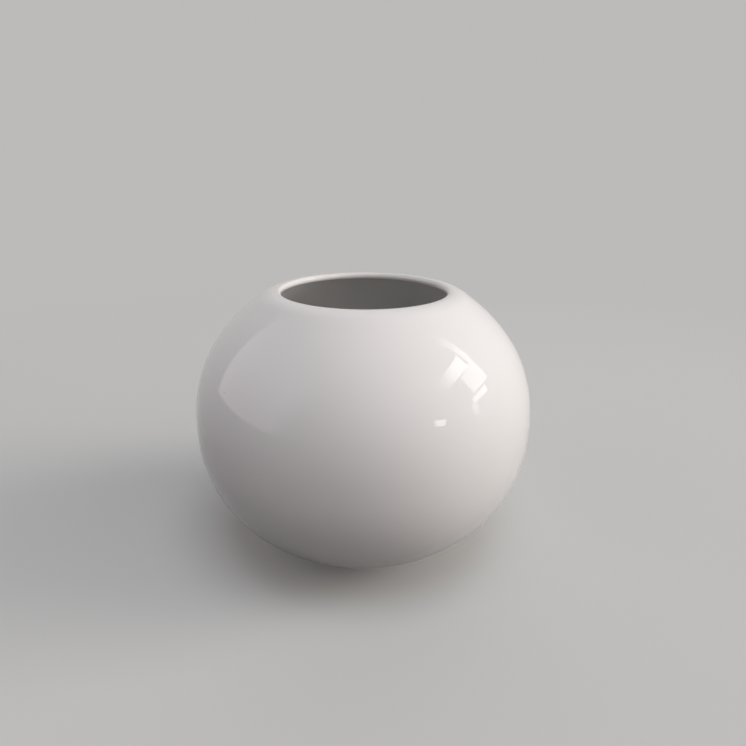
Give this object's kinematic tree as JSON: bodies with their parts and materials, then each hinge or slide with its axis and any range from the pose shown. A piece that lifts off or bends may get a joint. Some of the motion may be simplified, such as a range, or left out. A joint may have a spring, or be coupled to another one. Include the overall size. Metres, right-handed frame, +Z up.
{
  "type": "moon jar",
  "caption": "Globular white-glazed moon jar with a wide mouth, a thin rounded lip and a low foot ring, luted from thrown bowls; stands on a flat surface and holds stems.",
  "frame": {"origin": "on the jar's axis, at the level of the surface that the foot ring stands on", "axes": "+Z up along the axis from the foot to the mouth; the jar is round, so X and Y are free"},
  "size_m": [0.2, 0.2, 0.162],
  "materials": {
    "clay": "bare fired white clay, fine matte tooth",
    "slip": "fired joining slip, matte",
    "white_glaze": "opaque white, high gloss"
  },
  "bodies": {
    "root": {"lower_bowl": "clay", "upper_bowl": "clay", "belly_slip": "slip", "lip_ring": "clay", "lip_slip": "slip", "foot_ring": "clay", "foot_slip": "slip", "outside_glaze": "white_glaze", "inside_glaze": "white_glaze", "foot_well_glaze": "white_glaze"}
  },
  "joints": []
}
